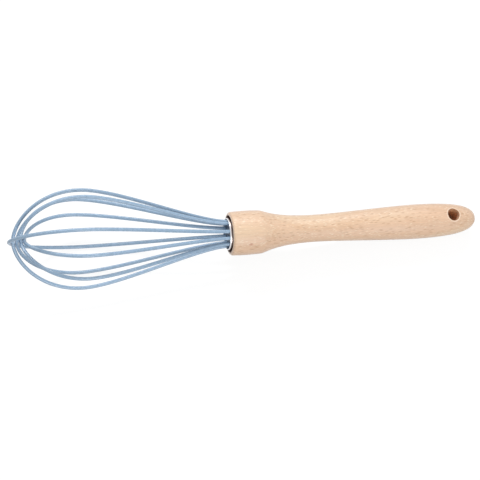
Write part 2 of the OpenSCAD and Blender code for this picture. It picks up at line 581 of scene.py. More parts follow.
class GroupDesk(Desk):
    """A desk in a new node group.

    Attributes:
        given: The group's inputs, as nodes inside read them.
        made: The group's outputs, as nodes inside feed them.
    """

    def __init__(self, name: str, inputs: dict[str, str], outputs: dict[str, str]) -> None:
        """Starts the group.

        Args:
            name: The group's name.
            inputs: Socket type of each input.
            outputs: Socket type of each output.
        """
        super().__init__(bpy.data.node_groups.new(name, "ShaderNodeTree"))
        for in_out, sockets in (("INPUT", inputs), ("OUTPUT", outputs)):
            for socket, kind in sockets.items():
                self.tree.interface.new_socket(name=socket, in_out=in_out, socket_type=kind)
        self.given = self.put("NodeGroupInput")
        self.made = self.tree.nodes.new("NodeGroupOutput").inputs


@dataclass(frozen=True)
class SurfaceMottle:
    """Cloudy and grainy unevenness of a moulded, poured or rolled surface, as a node group.

    The cloud is broad noise and the grain is finer noise. Tint is a brightness round 1 that follows both in
    equal parts, and Height is for a bump.

    Attributes:
        cloud_detail: Octaves of the cloud.
        grain_ratio: How many times as fine the grain is.
        grain_detail: Octaves of the grain.
    """

    cloud_detail: float = 2.0
    grain_ratio: float = 6.0
    grain_detail: float = 3.0

    def build(self) -> bpy.types.NodeTree:
        """Makes the group.

        Returns:
            The group, with Place, Scale and Contrast in, and Tint, Cloud and Height out.
        """
        number = "NodeSocketFloat"
        desk = GroupDesk(
            "surface_mottle",
            {"Place": "NodeSocketVector", "Scale": number, "Contrast": number},
            {"Tint": number, "Cloud": number, "Height": number},
        )
        place, scale, contrast = (desk.given[name] for name in ("Place", "Scale", "Contrast"))
        cloud = desk.noise(place, scale, self.cloud_detail)
        grain = desk.noise(place, desk.times(scale, self.grain_ratio), self.grain_detail)
        both = desk.total(desk.times(cloud, 1 / 2), (grain, 1 / 2))
        desk.feed(desk.made["Tint"], desk.math("MULTIPLY_ADD", desk.less(both, NOISE_MIDDLE), contrast, 1.0))
        desk.feed(desk.made["Cloud"], desk.span(cloud, NOISE_EDGE))
        desk.feed(desk.made["Height"], grain)
        return desk.tree


@dataclass(frozen=True)
class ToolLines:
    """Fine parallel lines, such as a lathe, a polishing wheel or a die leaves, as a node group.

    The lines are noise that hardly changes along them and changes fast across them.

    Attributes:
        pace_along: How fast they change along themselves.
        detail: Octaves of the noise.
    """

    pace_along: float = 0.08
    detail: float = 3.0

    def build(self) -> bpy.types.NodeTree:
        """Makes the group.

        Returns:
            The group, with Across, Along and Fineness in, and Mask out.
        """
        number = "NodeSocketFloat"
        inputs = {"Across": number, "Along": number, "Fineness": number}
        desk = GroupDesk("tool_lines", inputs, {"Mask": number})
        across = desk.times(desk.given["Across"], desk.given["Fineness"])
        along = desk.times(desk.given["Along"], self.pace_along)
        lines = desk.noise(desk.join(across, along, 0.0), 1.0, self.detail)
        desk.feed(desk.made["Mask"], desk.span(lines, NOISE_EDGE))
        return desk.tree


class SharedEffects:
    """The node groups that more than one finish uses, built once and placed in each."""

    def __init__(self) -> None:
        """Builds both groups."""
        self.surface_mottle = SurfaceMottle().build()
        self.tool_lines = ToolLines().build()

    def mottle(self, desk: MaterialDesk, mottle: Mottle) -> Any:
        """Places the mottle in a material, and gives its outputs."""
        feeds = {"Place": desk.where, "Scale": mottle.scale, "Contrast": mottle.contrast}
        return desk.put("ShaderNodeGroup", feeds, node_tree=self.surface_mottle)

    def lines(self, desk: MaterialDesk, across: Feed, along: Feed, fineness: float) -> Socket:
        """Places the tool lines in a material, and gives their mask."""
        feeds = {"Across": across, "Along": along, "Fineness": fineness}
        return desk.put("ShaderNodeGroup", feeds, node_tree=self.tool_lines)["Mask"]


# Finishes


@dataclass(frozen=True)
class GrowthRings:
    """Shells of wood round a pith that lies outside the handle.

    Attributes:
        pith: Where the pith lies, as Y and Z.
        drift: Noise by which the pith wanders in Y.
        drift_width: How far it wanders in all.
        width: Width of a ring.
        waver: Noise that makes the rings uneven.
        waver_rings: By how many rings it does that in all.
        rise: Part of a ring over which its dense line comes up.
        fall: Part of a ring over which the line ends.
    """

    pith: Pair = (24.0, -47.0)
    drift: Streaks = Streaks((0.018, 0.02, 0.02), 2.0)
    drift_width: float = 5.0
    width: float = 2.8
    waver: Streaks = Streaks((0.02, 0.07, 0.07), 2.0)
    waver_rings: float = 1.6
    rise: Pair = (0.45, 0.9)
    fall: Pair = (0.93, 1.0)

    def about_pith(self, desk: MaterialDesk) -> tuple[Socket, Socket]:
        """The surface point as seen from the pith.

        The distance is the root of both offsets squared, and the angle that of Z over Y.

        Args:
            desk: The material's desk.

        Returns:
            The distance from the pith, and the angle round it in radians.
        """
        _, y, z = desk.split(desk.where)
        drift = desk.times(desk.less(desk.streaks(self.drift), NOISE_MIDDLE), self.drift_width)
        off_y = desk.less(desk.math("ADD", y, drift), self.pith[0])
        off_z = desk.less(z, self.pith[1])
        return desk.away(off_y, off_z), desk.math("ARCTAN2", off_z, off_y)

    def dense_line(self, desk: MaterialDesk, out: Feed) -> Socket:
        """The dense line that ends each growth ring.

        The ring number is the distance from the pith over the ring's width, with slow noise, and the line
        lies in the last part of each whole number.

        Args:
            desk: The material's desk.
            out: Distance from the pith.

        Returns:
            A mask.
        """
        even = desk.math("DIVIDE", out, self.width)
        number = desk.total(even, (desk.streaks(self.waver), self.waver_rings))
        tooth = desk.math("FRACT", number)
        return desk.times(desk.span(tooth, self.rise), desk.span(tooth, self.fall, FALLING))


@dataclass(frozen=True)
class Flecks:
    """Scattered flecks in the wood.

    Attributes:
        size: Length of the cells that hold them, along each axis of the place they are laid in.
        random: Which random number of a cell decides whether it holds a fleck.
        chosen: Random numbers from which a cell starts to hold one, and holds it fully.
        edge: Distances from a cell's middle at which its fleck starts to fade, and ends.
        finer: How many times as fine they are laid as their size says.
    """

    size: Triple
    random: Triple
    chosen: Pair
    edge: Pair
    finer: float = 1.0

    def lay(self, desk: MaterialDesk, place: Feed) -> Socket:
        """Lays the flecks: each fills the middle of a stretched cell whose random number is high enough.

        Args:
            desk: The material's desk.
            place: The place they are laid in.

        Returns:
            A mask.
        """
        stretched = desk.stretch(place, tuple(self.finer / side for side in self.size))
        cells = desk.put("ShaderNodeTexVoronoi", {"Vector": stretched, "Scale": 1.0}, feature="F1")
        chosen = desk.span(desk.dot(cells["Color"], self.random), self.chosen)
        return desk.times(desk.span(cells["Distance"], self.edge, FALLING), chosen)


@dataclass(frozen=True)
class HandleMarks:
    """Painted light, shade and highlight round the hang hole, painted shade round the ferrule, and a pin
    knot.

    Attributes:
        drilled: Colour of the hang hole's wall deep inside, painted lighter where the hole is shaded.
        shaded_mouth_wall: Colour of that wall near both mouths, painted darker where light falls in: painted
            shade.
        mouth_shade_heights: Heights above or below the handle's axis between which that painted shade grows.
        wall_share: How much the wall's colour covers.
        wall_end_shares: Where the wall's colour ends, out from the hole, as shares of its rim's width.
        rim_highlight: Painted highlight round the rim of the hang hole, where its rounded edge catches the
            light.
        rim_highlight_end_shares: Where that painted highlight ends, in the same way.
        recess_shade: Painted shade of the recess round the ferrule.
        recess_shade_edge: Where its colour ends, out from the recess's wall.
        recess_shade_fade: Length over which its colour ends, behind the ferrule's bore.
        pin_knot: The pin knot on the drum.
        knot_at: Distance of the knot from the handle's face, and its direction in degrees.
        knot_squeeze: How its size is squeezed along each axis, so that it is longest along the grain.
        knot_edge: Distances from its middle between which it ends.
    """

    # The hole's wall: its brown, painted lighter deep inside and darker near both mouths, as painted light
    # and shade
    drilled: Triple = (0.75, 0.38, 0.14)
    shaded_mouth_wall: Triple = (0.4, 0.18, 0.07)
    mouth_shade_heights: Pair = (4.0, 9.0)
    wall_share: float = 0.85
    wall_end_shares: Pair = (1.0, 1.4)
    # Painted highlight round the hang hole's rim
    rim_highlight: Wash = Wash((1.0, 0.82, 0.66), 0.75)
    rim_highlight_end_shares: Pair = (2.0, 3.0)
    # Painted shade in the recess round the ferrule
    recess_shade: Wash = Wash((0.11, 0.016, 0.006), 0.95)
    recess_shade_edge: Pair = (-0.05, 0.2)
    recess_shade_fade: float = 4.0
    pin_knot: Wash = Wash((0.5, 0.2, 0.11), 0.7)
    knot_at: Pair = (11.0, 33.0)
    knot_squeeze: Triple = (0.8, 1.2, 1.2)
    knot_edge: Pair = (0.4, 1.6)

    def hole_parts(self, desk: MaterialDesk, handle: "TurnedHandle") -> tuple[Socket, Socket]:
        """The drilled wall of the hang hole and its rim: the points nearer and farther from the hole's axis.

        Args:
            desk: The material's desk.
            handle: The handle.

        Returns:
            Two masks.
        """
        across = desk.dot(desk.where, outward(handle.hole_turn + 90))
        distance = desk.away(across, desk.less(desk.split(desk.where)[0], handle.hole_at))
        hole_r, rim = handle.hole_d / 2, handle.rim_width
        wall, whole = (
            desk.span(distance, (hole_r + start * rim, hole_r + end * rim), FALLING)
            for start, end in (self.wall_end_shares, self.rim_highlight_end_shares)
        )
        return wall, desk.less(whole, wall)

    def wall_colour(self, desk: MaterialDesk, handle: "TurnedHandle") -> Socket:
        """The colour of the hang hole's wall: painted light deep inside and painted shade near both mouths.
        """
        height = desk.math("ABSOLUTE", desk.dot(desk.where, outward(handle.hole_turn)))
        return desk.mix(desk.span(height, self.mouth_shade_heights), self.drilled, self.shaded_mouth_wall)

    def recess(self, desk: MaterialDesk, handle: "TurnedHandle") -> Socket:
        """The recess round the ferrule: the points near the handle's axis and near its face.

        Args:
            desk: The material's desk.
            handle: The handle.

        Returns:
            A mask.
        """
        x, y, z = desk.split(desk.where)
        edge = tuple(handle.recess_d / 2 + past for past in self.recess_shade_edge)
        near_axis = desk.span(desk.away(y, z), edge, FALLING)
        return desk.times(near_axis, desk.span(x, (handle.bore_l, handle.bore_l + self.recess_shade_fade), FALLING))

    def knot(self, desk: MaterialDesk, handle: "TurnedHandle") -> Socket:
        """The pin knot on the drum: the points near its middle, a little longer along the grain.

        Args:
            desk: The material's desk.
            handle: The handle.

        Returns:
            A mask.
        """
        x, turn = self.knot_at
        middle = outward(turn) * handle.drum_d / 2 + x * AXIS
        off = desk.put("ShaderNodeVectorMath", (desk.where, middle), operation="SUBTRACT")["Vector"]
        squeezed = desk.stretch(off, self.knot_squeeze)
        return desk.span(desk.math("SQRT", desk.dot(squeezed, squeezed)), self.knot_edge, FALLING)

    def paint(self, desk: MaterialDesk, colour: Feed, handle: "TurnedHandle") -> tuple[Socket, ...]:
        """Lays the marks over the wood: a pin knot, a painted highlight, painted light and painted shade.

        Args:
            desk: The material's desk.
            colour: The wood's colour.
            handle: The handle.

        Returns:
            The colour with the marks, and the masks of the hole's wall and of the recess.
        """
        # Masks of the hole's wall and of its rim, which gets the painted highlight
        drilled, rim_highlight = self.hole_parts(desk, handle)
        # Mask of the recess, which gets painted shade
        recess_shade = self.recess(desk, handle)
        wall = Wash(self.wall_colour(desk, handle), self.wall_share)
        colour = desk.lay(colour, self.knot(desk, handle), self.pin_knot)
        # The rim's painted highlight, the wall's painted light and shade, and the recess's painted shade
        for mask, wash in ((rim_highlight, self.rim_highlight), (drilled, wall), (recess_shade, self.recess_shade)):
            colour = desk.lay(colour, mask, wash)
        return colour, drilled, recess_shade


@dataclass(frozen=True)
class BeechFinish:
    """Sanded, lightly oiled beech as one solid block that the handle is turned from.

    Growth rings are shells round a pith outside the handle, and rays are thin plates that stand out from
    the pith, so the same block shows dashes on its flat-sawn sides, flakes on its quarter-sawn sides and
    rings on its ends.

    Attributes:
        pale: Colour of the wood between the rings.
        rosy: Colour of its warmer stretches.
        stretches: Noise that tells the pale and the warmer stretches apart.
        stretch_edge: Values of that noise between which the colour changes.
        rings: The growth rings.
        late: The dense line that ends each ring.
        ray: The dark rays.
        ray_flecks: How they are scattered, out from the pith, round it and along the grain.
        dash: The fainter light dashes between them.
        dash_flecks: How they are scattered, round the pith, out from it and along the grain.
        fibre: Noise of the fibres.
        fibre_edge: Values of that noise between which the brightness changes.
        fibre_light: Brightness of the fibres, darkest and lightest.
        marks: A pin knot, and the painted light, shade and highlight of the hang hole and the recess.
        lathe_fineness: Lathe lines to a millimetre, about.
        relief: Relief of the fibres.
        relief_shares: Height of rays, lathe lines and ring lines, where a fibre's is 1.
        roughness: Roughness of the skin where it is smoothest.
        rough_shares: Roughness that fibres, rays and the hole's wall add.
        oil: Strength of the oil's own gloss, which the hang hole and the recess lack.
        oil_roughness: Roughness of that gloss.
        sheen: Strength of the soft sheen of fine dust.
        sheen_roughness: Roughness of that sheen.
    """

    pale: Triple = (0.86, 0.63, 0.43)
    rosy: Triple = (0.83, 0.56, 0.38)
    stretches: Streaks = Streaks((0.012, 0.05, 0.05), 1.0)
    stretch_edge: Pair = (0.35, 0.65)
    rings: GrowthRings = GrowthRings()
    late: Wash = Wash((0.76, 0.49, 0.3), 0.38)
    ray: Wash = Wash((0.56, 0.32, 0.17), 0.68)
    ray_flecks: Flecks = Flecks((8.0, 0.8, 4.0), FIRST_RANDOM, (0.45, 0.6), (0.08, 0.5))
    dash: Wash = Wash((1.0, 0.83, 0.64), 0.85)
    dash_flecks: Flecks = Flecks((0.8, 8.0, 4.0), SECOND_RANDOM, (0.5, 0.7), (0.1, 0.5), finer=1.7)
    fibre: Streaks = Streaks((0.07, 3.2, 3.2), 3.0)
    fibre_edge: Pair = (0.25, 0.75)
    fibre_light: Pair = (0.9, 1.07)
    marks: HandleMarks = HandleMarks()
    lathe_fineness: float = 2.4
    relief: Relief = Relief(0.03, 0.6)
    relief_shares: Triple = (-0.8, 0.25, -0.2)
    roughness: float = 0.46
    rough_shares: Triple = (0.12, 0.12, 0.25)
    oil: float = 0.6
    oil_roughness: float = 0.4
    sheen: float = 0.5
    sheen_roughness: float = 0.4

    def build(self, place: Placement, effects: SharedEffects, handle: "TurnedHandle") -> bpy.types.Material:
        """Makes the material.

        Args:
            place: The placement.
            effects: The shared node groups.
            handle: The handle, for the places of its marks.

        Returns:
            The material.
        """
        desk = MaterialDesk("oiled_beech", place)
        x = desk.split(desk.where)[0]
        out, angle = self.rings.about_pith(desk)
        round_it = desk.times(angle, math.hypot(*self.rings.pith))
        late = self.rings.dense_line(desk, out)
        ray = self.ray_flecks.lay(desk, desk.join(out, round_it, x))
        dash = self.dash_flecks.lay(desk, desk.join(round_it, out, x))
        fibre = desk.streaks(self.fibre)
        lathe = effects.lines(desk, x, angle, self.lathe_fineness)

        colour = desk.mix(desk.span(desk.streaks(self.stretches), self.stretch_edge), self.pale, self.rosy)
        for mask, wash in ((late, self.late), (dash, self.dash), (ray, self.ray)):
            colour = desk.lay(colour, mask, wash)
        colour = desk.brightened(colour, desk.span(fibre, self.fibre_edge, self.fibre_light))
        # The marks, with the painted highlight, light and shade of the hang hole and the recess's painted
        # shade
        colour, drilled, recess_shade = self.marks.paint(desk, colour, handle)
        height = desk.total(fibre, *zip((ray, lathe, late), self.relief_shares))
        return desk.dress({
            "Base Color": colour,
            "Roughness": desk.total(self.roughness, *zip((fibre, ray, drilled), self.rough_shares)),
            "Normal": desk.bump(height, self.relief),
            "Sheen Weight": self.sheen,
            "Sheen Roughness": self.sheen_roughness,
            # The hole's wall and the recess, with its painted shade, have no oil gloss
            "Coat Weight": desk.total(self.oil, (desk.math("MAXIMUM", drilled, recess_shade), -self.oil)),
            "Coat Roughness": self.oil_roughness,
        })


@dataclass(frozen=True)
class SiliconeFinish:
    """Satin silicone, extruded as a sleeve, with faint lengthwise lines.

    Attributes:
        colour: Its powder blue.
        mottle: Its mottle.
        fineness: Lengthwise lines round a sleeve, about.
        relief: Relief of its grain.
        line_rise: Height of the lines, where the grain's is 1.
        roughness: Roughness where it is smoothest.
        rough_shares: Roughness that clouds and lines add.
        glow: Share of light that scatters below the skin.
        glow_colours: How far red, green and blue scatter, as shares of the reach.
        glow_reach: How far the light scatters.
        gloss: Strength of its highlights.
    """

    colour: Triple = (0.32, 0.46, 0.62)
    mottle: Mottle = Mottle(0.35, 0.22)
    fineness: float = 26.0
    relief: Relief = Relief(0.02, 0.2)
    line_rise: float = 0.3
    roughness: float = 0.2
    rough_shares: Pair = (0.1, 0.04)
    glow: float = 0.04
    glow_colours: Triple = (0.5, 0.8, 1.0)
    glow_reach: float = 0.6
    gloss: float = 0.7

    def build(self, place: Placement, effects: SharedEffects) -> bpy.types.Material:
        """Makes the material.

        Args:
            place: The placement.
            effects: The shared node groups.

        Returns:
            The material.
        """
        desk = MaterialDesk("satin_silicone", place)
        mottle = effects.mottle(desk, self.mottle)
        around, along, _ = desk.split(desk.put("ShaderNodeUVMap", uv_map=SLEEVE_UV)[0])
        lines = effects.lines(desk, around, along, self.fineness)
        return desk.dress({
            "Base Color": desk.brightened(self.colour, mottle["Tint"]),
            "Roughness": desk.total(self.roughness, *zip((mottle["Cloud"], lines), self.rough_shares)),
            "Normal": desk.bump(desk.total(mottle["Height"], (lines, self.line_rise)), self.relief),
            "Subsurface Weight": self.glow,
            "Subsurface Radius": self.glow_colours,
            "Subsurface Scale": self.glow_reach * MM,
            "Specular IOR Level": self.gloss,
        })


@dataclass(frozen=True)
class SteelFinish:
    """Steel with fine tool lines, and where asked a painted dark reflection of the wood beside it.

    Attributes:
        name: The material's name.
        colour: Its reflected colour.
        roughness: Its roughness between the lines.
        relief: Relief of the lines.
        fineness: Lines to a millimetre, about.
        lengthwise: Whether the lines run along the whisk instead of round it.
        radial_pace: Lines to a millimetre out from the axis, where a millimetre along it has 1.
        wood_reflection_span: Where the painted reflection of the wood starts and is full, from the handle's
            face, or None.
        wood_reflection: That painted reflection, dark brown like the wood's shaded edge.
        mottle: Its mottle.
        rough_shares: Roughness that clouds and lines add.
    """

    name: str
    colour: Triple
    roughness: float
    relief: Relief
    fineness: float
    lengthwise: bool = False
    radial_pace: float = 1.3
    wood_reflection_span: Pair | None = None
    wood_reflection: Wash = Wash((0.2, 0.11, 0.08), 0.8)
    mottle: Mottle = Mottle(0.4, 0.1)
    rough_shares: Pair = (0.05, 0.08)

    def build(self, place: Placement, effects: SharedEffects) -> bpy.types.Material:
        """Makes the material.

        Args:
            place: The placement.
            effects: The shared node groups.

        Returns:
            The material.
        """
        desk = MaterialDesk(self.name, place)
        x, y, z = desk.split(desk.where)
        angle = desk.math("ARCTAN2", z, y)
        down_skin = desk.total(x, (desk.away(y, z), self.radial_pace))
        across, along = (angle, x) if self.lengthwise else (down_skin, angle)
        lines = effects.lines(desk, across, along, self.fineness)
        mottle = effects.mottle(desk, self.mottle)
        colour = desk.brightened(self.colour, mottle["Tint"])
        # Painted dark reflection of the wood on the steel next to the handle
        if self.wood_reflection_span is not None:
            colour = desk.lay(colour, desk.span(x, self.wood_reflection_span), self.wood_reflection)
        return desk.dress({
            "Base Color": colour,
            "Metallic": 1.0,
            "Roughness": desk.total(self.roughness, *zip((mottle["Cloud"], lines), self.rough_shares)),
            "Normal": desk.bump(lines, self.relief),
        })


@dataclass(frozen=True)
class MouldedFinish:
    """Poured resin or moulded nylon: a plain colour with clouds and a fine skin.

    Attributes:
        name: The material's name.
        colour: Its colour.
        roughness: Roughness where it is smoothest.
        mottle: Its mottle.
        cloud_rough: Roughness that clouds add.
        relief: Relief of its grain.
    """

    name: str
    colour: Triple
    roughness: float
    mottle: Mottle
    cloud_rough: float = 0.12
    relief: Relief = Relief(0.03, 0.5)

    def build(self, place: Placement, effects: SharedEffects) -> bpy.types.Material:
        """Makes the material.

        Args:
            place: The placement.
            effects: The shared node groups.

        Returns:
            The material.
        """
        desk = MaterialDesk(self.name, place)
        mottle = effects.mottle(desk, self.mottle)
        return desk.dress({
            "Base Color": desk.brightened(self.colour, mottle["Tint"]),
            "Roughness": desk.total(self.roughness, (mottle["Cloud"], self.cloud_rough)),
            "Normal": desk.bump(mottle["Height"], self.relief),
        })


POLISHED_RIM = SteelFinish(
    name="polished_steel_rim",
    colour=(0.76, 0.76, 0.78),
    roughness=0.26,
    relief=Relief(0.004, 0.5),
    fineness=9.0,
    # Painted dark reflection of the wood, on the side that meets the handle
    wood_reflection_span=(-1.1, -0.5),
)
DRAWN_WIRE = SteelFinish(
    name="drawn_spring_steel",
    colour=(0.55, 0.55, 0.56),
    roughness=0.3,
    relief=Relief(0.01, 0.5),
    fineness=30.0,
    lengthwise=True,
)
DARK_RESIN = MouldedFinish("poured_dark_resin", (0.1, 0.13, 0.18), 0.24, Mottle(0.5, 0.3))
NATURAL_NYLON = MouldedFinish("natural_nylon", (0.8, 0.78, 0.7), 0.39, Mottle(0.5, 0.1))


# Sub-assemblies


@dataclass(frozen=True)
class TurnedHandle:
    """The beech handle: drum, neck, palm swell and rounded butt, with its stepped bore and its hang hole.

    Attributes:
        length: From its face to its butt.
        drum_d: Widest diameter of the drum.
        drum_l: Length of the drum.
        drum_crown: Fall of the drum's radius from its middle to its ends.
        front_edge: Rounding of its front edge.
        neck_d: Diameter of the neck.
        neck_at: Distance of the neck from the face.
        swell_d: Diameter of the swell.
        swell_at: Distance of the swell from the face.
        pull_shares: Pull of the curves: out of the drum, into and out of the neck, into and out of the
            swell, and round the butt.
        recess_d: Diameter of the recess round the ferrule.
        recess_l: Depth of that recess.
        bore_d: Diameter of the ferrule's bore.
        bore_l: Depth of the ferrule's bore.
        spigot_d: Diameter of the inner bore.
        spigot_end: Depth of the inner bore.
        hole_d: Diameter of the hang hole.
        hole_inset: Distance of the hole from the butt.
        hole_turn: Direction of the hole in degrees.
        rim_width: Width of the hole's rounded rim.
        rim_depth: Depth of the hole's rounded rim.
        columns: Columns round the handle.
        edge_steps: Steps round the front edge.
        drum_steps: Steps along the drum.
        curve_steps: Steps of each curve.
        fine_steps: Steps of the curve round the butt where radii are read off it.
        swell_steps: Steps from the swell to the hole's patch.
        butt_steps: Steps from that patch round the butt.
        patch_half: Half the columns of the patch round each mouth of the hole.
        patch_rows: Rows of that patch.
        patch_reach: Half its length.
        flat_rings: Rings on the skin round a mouth.
        rim_rings: Rings down its rim.
        wall_steps: Steps of the hole's wall.
    """

    length: float = 165.5
    drum_d: float = 28.1
    drum_l: float = 19.5
    drum_crown: float = 0.3
    front_edge: float = 1.8
    neck_d: float = 17.4
    neck_at: float = 56.5
    swell_d: float = 22.3
    swell_at: float = 125.0
    pull_shares: tuple[float, ...] = (0.12, 0.76, 0.23, 0.27, 0.76, 0.67)
    recess_d: float = 23.6
    recess_l: float = 2.5
    bore_d: float = 20.44
    bore_l: float = 14.0
    spigot_d: float = 18.44
    spigot_end: float = 22.5
    hole_d: float = 7.4
    hole_inset: float = 17.5
    hole_turn: float = 84.0
    rim_width: float = 0.45
    rim_depth: float = 0.9
    columns: int = 160
    edge_steps: int = 11
    drum_steps: int = 21
    curve_steps: int = 44
    fine_steps: int = 4000
    swell_steps: int = 15
    butt_steps: int = 29
    patch_half: int = 16
    patch_rows: int = 24
    patch_reach: float = 6.0
    flat_rings: int = 8
    rim_rings: int = 9
    wall_steps: int = 13

    @property
    def hole_at(self) -> float:
        """Distance of the hole from the handle's face."""
        return self.length - self.hole_inset

    def drum(self, x: Points) -> Points:
        """Profile rows of the drum, whose radius is a parabola, widest in its middle."""
        return np.stack([x, self.drum_d / 2 - self.drum_crown * (2 * x / self.drum_l - 1) ** 2], axis=-1)

    def grip(self, steps: int) -> tuple[Points, Points, Points]:
        """The three curves behind the drum: to the neck, to the swell and round the butt.

        Each is a Bezier curve that leaves and reaches its ends level with the axis, except that the first
        leaves along the drum's slope and the last reaches the axis square to it.

        Args:
            steps: Steps of each curve.

        Returns:
            Profile rows of each curve.
        """
        out_drum, in_neck, out_neck, in_swell, out_swell, round_butt = self.pull_shares
        to_neck, to_swell = self.neck_at - self.drum_l, self.swell_at - self.neck_at
        to_butt = self.length - self.swell_at
        drum_slope = np.array([1.0, -4 * self.drum_crown / self.drum_l])
        drum_end = self.drum(np.array(self.drum_l))
        neck = np.array([self.neck_at, self.neck_d / 2])
        swell = np.array([self.swell_at, self.swell_d / 2])
        butt = np.array([self.length, 0.0])
        off_drum = drum_end + out_drum * to_neck * drum_slope
        off_neck = neck + out_neck * to_swell * LEVEL
        off_swell = swell + out_swell * to_butt * LEVEL
        above_butt = butt + np.array([0.0, round_butt * self.swell_d / 2])
        return (
            bezier(drum_end, off_drum, neck - in_neck * to_neck * LEVEL, neck, steps),
            bezier(neck, off_neck, swell - in_swell * to_swell * LEVEL, swell, steps),
            bezier(swell, off_swell, above_butt, butt, steps),
        )

    def skin(self, x: Points) -> Points:
        """Radius of the swell and the butt at any distance, read off a finely divided curve."""
        curve = self.grip(self.fine_steps)[2]
        return np.interp(x, curve[:, 0], curve[:, 1])

    def bores(self) -> Points:
        """Profile rows of the stepped bore and the recess, from the bottom out to the handle's face.

        Each corner has a row close to it on either side, which keeps the corner crisp.

        Returns:
            The rows.
        """
        recess_r, bore_r, spigot_r = self.recess_d / 2, self.bore_d / 2, self.spigot_d / 2
        end, step, ledge = self.spigot_end, self.bore_l, self.recess_l
        return np.array([
            (end, 0.0), (end, spigot_r / 2),
            (end, spigot_r - CRISP), (end, spigot_r), (end - CRISP, spigot_r),
            (step + CRISP, spigot_r), (step, spigot_r), (step, spigot_r + CRISP),
            (step, bore_r - CRISP), (step, bore_r), (step - CRISP, bore_r), (step / 2, bore_r),
            (ledge + CRISP, bore_r), (ledge, bore_r), (ledge, bore_r + CRISP),
            (ledge, recess_r - CRISP), (ledge, recess_r), (ledge - CRISP, recess_r),
            (CRISP, recess_r), (0.0, recess_r), (0.0, recess_r + CRISP),
        ])

    def profile(self) -> tuple[Points, int]:
        """Rows of the whole profile, from the bottom of the inner bore out and back to the butt.

        The front edge is a quarter of a circle, whose centre lies its radius behind the face.

        Returns:
            Distance from the face and radius of each row, and the number of rows before the hole's patch.
        """
        turn = np.linspace(0, math.pi / 2, self.edge_steps + 1)
        back, fall = self.front_edge * (1 - np.cos(turn)), self.front_edge * (1 - np.sin(turn))
        edge = np.stack([back, self.drum(np.array(self.front_edge))[1] - fall], axis=1)
        drum = self.drum(np.linspace(self.front_edge, self.drum_l, self.drum_steps + 1)[1:])
        shoulder, palm, _ = self.grip(self.curve_steps)
        first, last = self.hole_at - self.patch_reach, self.hole_at + self.patch_reach
        before = np.linspace(self.swell_at, first, self.swell_steps + 1)[1:-1]
        patch = np.linspace(first, last, self.patch_rows + 1)
        before, patch = (np.stack([x, self.skin(x)], axis=1) for x in (before, patch))
        butt = self.grip(self.fine_steps)[2]
        passed = np.interp(last, butt[:, 0], np.arange(len(butt)))
        tail = np.rint(np.linspace(passed, self.fine_steps, self.butt_steps + 1)[1:]).astype(int)
        front = np.concatenate([self.bores(), edge, drum, shoulder[1:], palm[1:], before])
        return np.concatenate([front, patch, butt[tail]]), len(front)

    def patch_edge(self, grid: Points | Indices, first_row: int, centre: int) -> Points | Indices:
        """Walks round the edge of a mouth's patch: up the first row, along the last column and back.

        Args:
            grid: Anything that has the rows and columns of the handle.
            first_row: First row of the patch.
            centre: Column at the middle of the patch.

        Returns:
            The grid's values along that walk.
        """
        low, high = first_row, first_row + self.patch_rows
        around = (centre + np.arange(-self.patch_half, self.patch_half + 1)) % self.columns
        return np.concatenate([
            grid[low, around[:-1]], grid[low:high, around[-1]],
            grid[high, around[:0:-1]], grid[high:low:-1, around[0]],
        ])

    def mouth(self, x: Points, aside: Points, turn: float) -> Points:
        """Rings from the edge of the patch in to the drilled wall.

        The outer rings lie on the skin, part of the way from the patch's edge to a circle round the hole.
        The inner rings go down a quarter of an ellipse, from that circle to the wall: their radius falls
        with the sine and their depth grows with one minus the cosine of the same angle.

        Args:
            x: Distance of each point of the patch's edge from the face.
            aside: Angle of each such point from the hole's direction, in radians.
            turn: Direction of this mouth in degrees.

        Returns:
            Points, rings by points round the hole by 3.
        """
        hole_r, rim_r = self.hole_d / 2, self.hole_d / 2 + self.rim_width
        heading = np.arctan2(self.skin(x) * np.sin(aside), x - self.hole_at)
        circle_x = self.hole_at + rim_r * np.cos(heading)
        circle_aside = np.arcsin(rim_r * np.sin(heading) / self.skin(circle_x))
        share = np.linspace(0, 1, self.flat_rings + 1)[1:, None]
        flat_x = x + share * (circle_x - x)
        flat_aside = aside + share * (circle_aside - aside)
        flat_r = self.skin(flat_x)
        fall = np.linspace(0, math.pi / 2, self.rim_rings + 1)[1:, None]
        r = hole_r + self.rim_width * (1 - np.sin(fall))
        rim_x = self.hole_at + r * np.cos(heading)
        rim_side = r * np.sin(heading)
        rim_height = np.sqrt(self.skin(rim_x) ** 2 - rim_side**2) - self.rim_depth * (1 - np.cos(fall))
        along = np.concatenate([flat_x, rim_x])[..., None] * AXIS
        side = np.concatenate([flat_r * np.sin(flat_aside), rim_side])[..., None] * outward(turn + 90)
        height = np.concatenate([flat_r * np.cos(flat_aside), rim_height])[..., None] * outward(turn)
        return along + side + height

